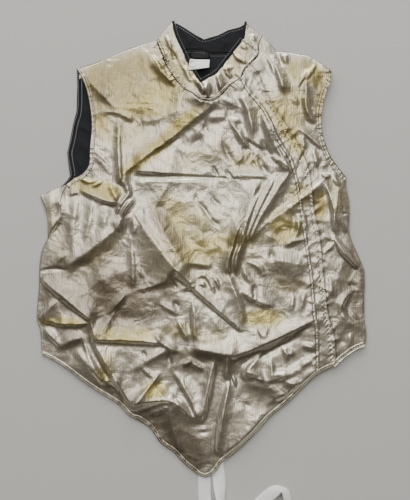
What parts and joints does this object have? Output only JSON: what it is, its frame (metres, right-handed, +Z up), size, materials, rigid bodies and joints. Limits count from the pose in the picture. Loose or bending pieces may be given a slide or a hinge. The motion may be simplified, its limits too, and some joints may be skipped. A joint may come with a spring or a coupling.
{
  "type": "sleeveless fencing lame, laid flat",
  "caption": "Sleeveless metallic fencing vest laid flat, front up, with a stand collar, a side fly, a pointed hem and an elastic crotch strap.",
  "frame": {"origin": "middle of the laid-out vest and strap, on the surface it lies on", "axes": "+Z up from the surface, +Y towards the collar, +X to the right as seen from above"},
  "size_m": [0.56, 0.8886, 0.0252],
  "materials": {
    "metallic_cloth": "satin metallic weave",
    "dark_lining": "matte",
    "woven_tape": "satin",
    "white_satin": "satin",
    "white_elastic": "matte"
  },
  "bodies": {
    "root": {"back": "metallic_cloth", "back_lining": "dark_lining", "back_underarm": "metallic_cloth", "collar_back": "metallic_cloth", "collar_back_lining": "dark_lining", "front_main": "metallic_cloth", "front_side": "metallic_cloth", "fly_strip": "metallic_cloth", "collar_front": "metallic_cloth", "collar_side": "metallic_cloth", "collar_binding_left": "dark_lining", "collar_binding_right": "dark_lining", "label_woven": "woven_tape", "label_size": "white_satin", "crotch_strap": "white_elastic"}
  },
  "joints": []
}
